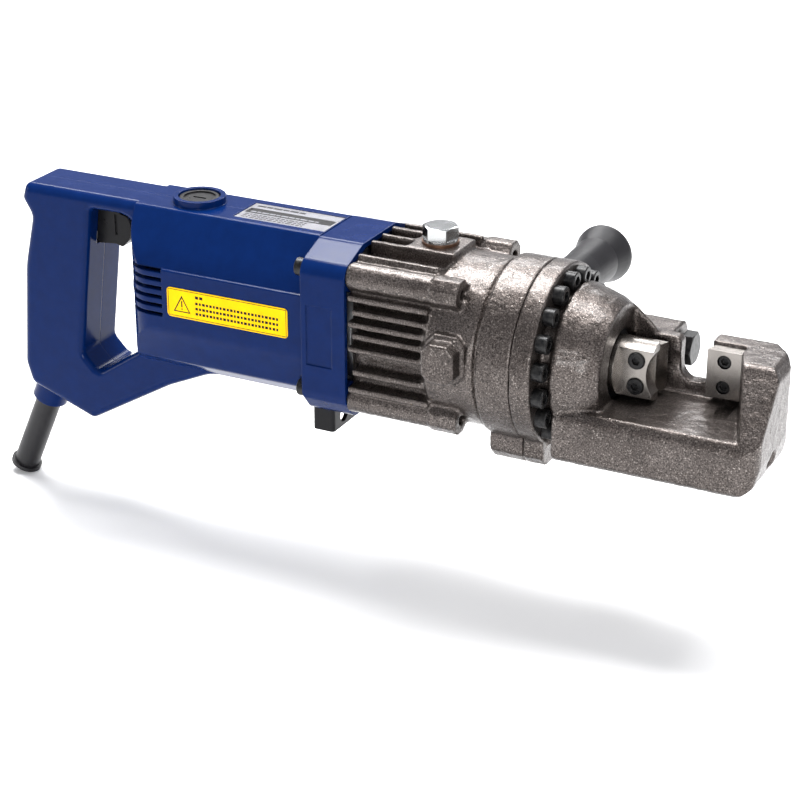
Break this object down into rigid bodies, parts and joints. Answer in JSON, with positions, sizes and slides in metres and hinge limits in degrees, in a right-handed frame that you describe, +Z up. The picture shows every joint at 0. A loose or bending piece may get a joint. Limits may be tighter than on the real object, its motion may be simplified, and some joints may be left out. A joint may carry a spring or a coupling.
{
  "type": "electro-hydraulic rebar cutter",
  "caption": "Hand-held electro-hydraulic rebar cutter: open cutter head with ram and two blades, finned pump case, motor housing with closed D-handle and a side handle.",
  "frame": {"origin": "on the ram's axis, in the plane of the fixed blade's cutting face, where the bar to be cut lies against that blade", "axes": "+X along the ram from the handle to the end of the cutter head, +Z up through the open jaw, +Y along the bar towards the side handle"},
  "size_m": [0.4773, 0.2074, 0.2016],
  "materials": {
    "cast_body": "hammered grey-brown paint on rough casting",
    "black_steel": "black oxide",
    "ground_steel": "ground",
    "machined_steel": "machined",
    "spring_steel": "drawn wire",
    "laminations": "stacked sheet steel",
    "zinc": "bright zinc plate",
    "bare_aluminium": "as cast",
    "copper": "enamelled or turned copper",
    "brass_parts": "pressed brass",
    "seal_rubber": "oil-resistant rubber",
    "black_rubber": "satin moulded rubber",
    "black_plastic": "moulded",
    "blue_plastic": "glossy moulded navy blue",
    "silver_label": "printed foil",
    "yellow_label": "printed film"
  },
  "bodies": {
    "root": {"bearing_plate": "bare_aluminium", "brush_caps": "black_plastic", "brush_holders": "brass_parts", "brush_springs": "spring_steel", "cable_clamp": "black_plastic", "carbon_brushes": "black_plastic", "case_screws": "black_steel", "check_balls": "machined_steel", "cutter_head": "cast_body", "field_coils": "copper", "fixed_blade": "ground_steel", "fixed_blade_screws": "black_steel", "flange_screws": "black_steel", "foot_bracket": "black_plastic", "foot_screws": "black_steel", "front_cover": "blue_plastic", "gear_shaft_bearings": "machined_steel", "handle_screws": "black_steel", "head_seal": "seal_rubber", "left_housing_half": "blue_plastic", "motor_bearings": "machined_steel", "motor_plate": "bare_aluminium", "nameplate": "silver_label", "oil_bladder": "seal_rubber", "oil_plug": "zinc", "oil_plug_washer": "copper", "pump_block": "machined_steel", "pump_case": "cast_body", "pump_plunger": "machined_steel", "return_spring": "spring_steel", "right_housing_half": "blue_plastic", "rod_wiper": "seal_rubber", "side_handle_grip": "black_rubber", "side_handle_stud": "zinc", "side_label": "yellow_label", "stator_core": "laminations", "strain_relief": "black_rubber", "switch_body": "black_plastic", "trigger_spring": "spring_steel"},
    "ram": {"ram": "ground_steel", "piston_seal": "seal_rubber", "moving_blade": "ground_steel", "moving_blade_screws": "black_steel"},
    "stopper": {"stopper_bolt": "black_steel"},
    "trigger": {"trigger": "black_plastic"},
    "armature": {"armature_shaft": "machined_steel", "armature_core": "laminations", "armature_windings": "copper", "commutator": "copper", "cooling_fan": "black_plastic"},
    "pump_gear": {"eccentric_shaft": "machined_steel", "reduction_gear": "machined_steel", "eccentric_bearing": "machined_steel"}
  },
  "joints": [
    {"name": "ram_slide", "type": "slide", "parent": "root", "child": "ram", "axis": [1, 0, 0], "range_m": [0, 0.0215], "stiffness_N_per_m": 4000, "springref_m": -0.02, "deforming": ["return_spring"]},
    {"name": "trigger_slide", "type": "slide", "parent": "root", "child": "trigger", "axis": [-1, 0, 0], "range_m": [0, 0.006], "stiffness_N_per_m": 600, "springref_m": -0.004, "deforming": ["trigger_spring"]},
    {"name": "armature_spin", "type": "hinge", "parent": "root", "child": "armature", "pos_m": [-0.275, 0, 0], "axis": [1, 0, 0], "continuous": true},
    {"name": "pump_gear_spin", "type": "hinge", "parent": "root", "child": "pump_gear", "pos_m": [-0.1968, 0, -0.0198], "axis": [1, 0, 0], "continuous": true},
    {"name": "stopper_adjust", "type": "slide", "parent": "root", "child": "stopper", "axis": [1, 0, 0], "range_m": [0, 0.008]}
  ],
  "couplings": [
    {"joint": "pump_gear_spin", "follows": "armature_spin", "ratio": -0.29412}
  ]
}
